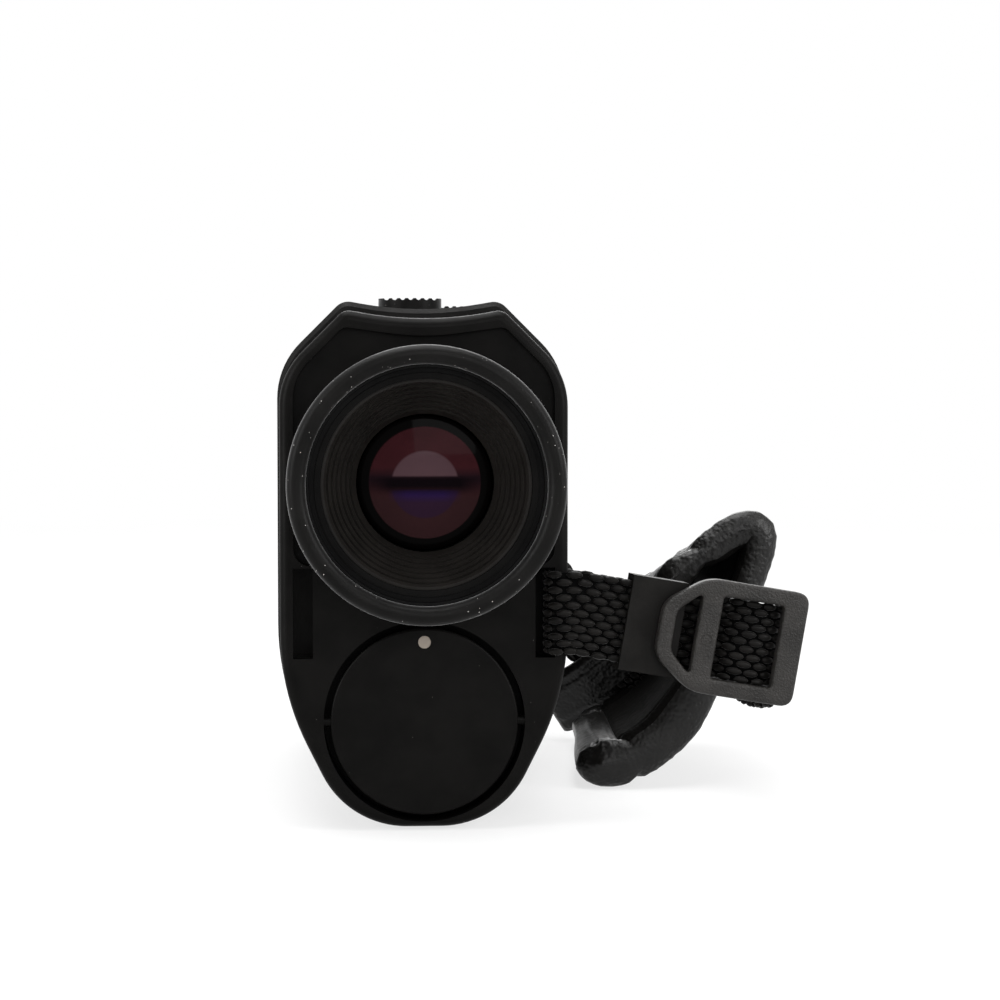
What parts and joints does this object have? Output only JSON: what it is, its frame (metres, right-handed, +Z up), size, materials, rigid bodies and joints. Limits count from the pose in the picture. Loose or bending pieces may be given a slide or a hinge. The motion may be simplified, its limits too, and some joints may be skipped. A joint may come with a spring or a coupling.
{
  "type": "laser rangefinder",
  "caption": "Upright handheld laser rangefinder with a twist-up eyecup, dioptre ring, tilting battery cover, top buttons and a padded leather hand strap.",
  "frame": {"origin": "middle of the flat foot under the casing, on the surface it stands on", "axes": "+Z up, +Y along the sight line to the target, -Y the eyepiece end, +X the hand strap side"},
  "size_m": [0.098, 0.1316, 0.0932],
  "materials": {
    "armour": "fine textured rubber armour over the shell, near black",
    "cap": "smooth satin moulded plastic, near black",
    "soft_rubber": "matte soft rubber with fine dust",
    "grip_rubber": "ribbed rubber",
    "hard_black": "grained moulded nylon, dark grey",
    "baffle_black": "deep matte black",
    "black_metal": "black anodised",
    "brass": "turned",
    "steel": "fine brushed",
    "coated_glass": "coated optical glass, red and violet sheen",
    "glass": "clear optical glass",
    "dot": "grey beige paint",
    "board": "green glass fibre board",
    "chip": "black epoxy",
    "battery": "printed sleeve, bare of text",
    "flex": "amber film",
    "webbing": "coarse basket weave, black",
    "leather": "soft padded black leather"
  },
  "bodies": {
    "housing": {"battery_cell": "battery", "battery_front_contact": "brass", "battery_tube": "hard_black", "board_chips": "chip", "board_screws": "steel", "button_flex": "flex", "display_module": "glass", "emitter_cell": "black_metal", "emitter_lens": "coated_glass", "emitter_retainer": "black_metal", "eyepiece_tube": "black_metal", "field_stop": "baffle_black", "front_bezel": "cap", "front_bezel_screws": "steel", "front_gasket": "soft_rubber", "front_prism": "glass", "laser_board": "board", "laser_detector": "board", "laser_diode": "steel", "main_board": "board", "main_housing": "armour", "measure_button_seal": "soft_rubber", "measure_switch": "steel", "mode_button_seal": "soft_rubber", "mode_switch": "steel", "objective_cell": "black_metal", "objective_front_lens": "coated_glass", "objective_rear_lens": "glass", "objective_retainer": "black_metal", "optics_chassis": "black_metal", "prism_clip": "steel", "prism_cradle": "hard_black", "rear_cap": "cap", "rear_cap_screws": "steel", "rear_gasket": "soft_rubber", "rear_prism": "glass", "side_grip_left": "grip_rubber", "side_grip_right": "grip_rubber", "strap_buckle": "hard_black", "strap_front_tab": "webbing", "strap_pad": "leather", "strap_webbing": "webbing", "switch_board": "board", "switch_board_screws": "steel"},
    "eyecup_cam": {"eyecup_cam_ring": "brass"},
    "eyecup": {"eyecup_rubber": "soft_rubber", "eyecup_sleeve": "hard_black"},
    "diopter": {"diopter_ring": "hard_black"},
    "ocular": {"ocular_cell": "black_metal", "ocular_baffle": "baffle_black", "eye_lens": "coated_glass", "field_lens": "glass", "ocular_spacer": "black_metal", "ocular_retainer": "black_metal"},
    "battery_door": {"battery_cover": "cap", "cover_press_dot": "dot", "cover_contact": "brass"},
    "measure_key": {"measure_button": "soft_rubber"},
    "mode_key": {"mode_button": "soft_rubber"},
    "keeper": {"strap_keeper": "soft_rubber"}
  },
  "joints": [
    {"name": "eyecup_twist", "type": "hinge", "parent": "housing", "child": "eyecup_cam", "pos_m": [0, -0.0656, 0.0605], "axis": [0, -1, 0], "range_deg": [0, 90]},
    {"name": "eyecup_extend", "type": "slide", "parent": "eyecup_cam", "child": "eyecup", "axis": [0, -1, 0], "range_m": [0, 0.006]},
    {"name": "diopter_turn", "type": "hinge", "parent": "housing", "child": "diopter", "pos_m": [0, -0.0594, 0.0605], "axis": [0, -1, 0], "range_deg": [-60, 60]},
    {"name": "focus_slide", "type": "slide", "parent": "housing", "child": "ocular", "axis": [0, -1, 0], "range_m": [-0.0006, 0.0006]},
    {"name": "battery_cover_tilt", "type": "hinge", "parent": "housing", "child": "battery_door", "pos_m": [0, -0.0557, 0.019], "axis": [-1, 0, 0], "range_deg": [0, 12]},
    {"name": "measure_press", "type": "slide", "parent": "housing", "child": "measure_key", "axis": [0, 0, -1], "range_m": [0, 0.001], "stiffness_N_per_m": 1500},
    {"name": "mode_press", "type": "slide", "parent": "housing", "child": "mode_key", "axis": [0, 0, -1], "range_m": [0, 0.001], "stiffness_N_per_m": 1500},
    {"name": "keeper_slide", "type": "slide", "parent": "housing", "child": "keeper", "axis": [0.9794, 0.1029, -0.1737], "range_m": [-0.002, 0.003]}
  ],
  "couplings": [
    {"joint": "eyecup_extend", "follows": "eyecup_twist", "m_per_rad": 0.0038197},
    {"joint": "focus_slide", "follows": "diopter_turn", "m_per_rad": 0.00054}
  ]
}
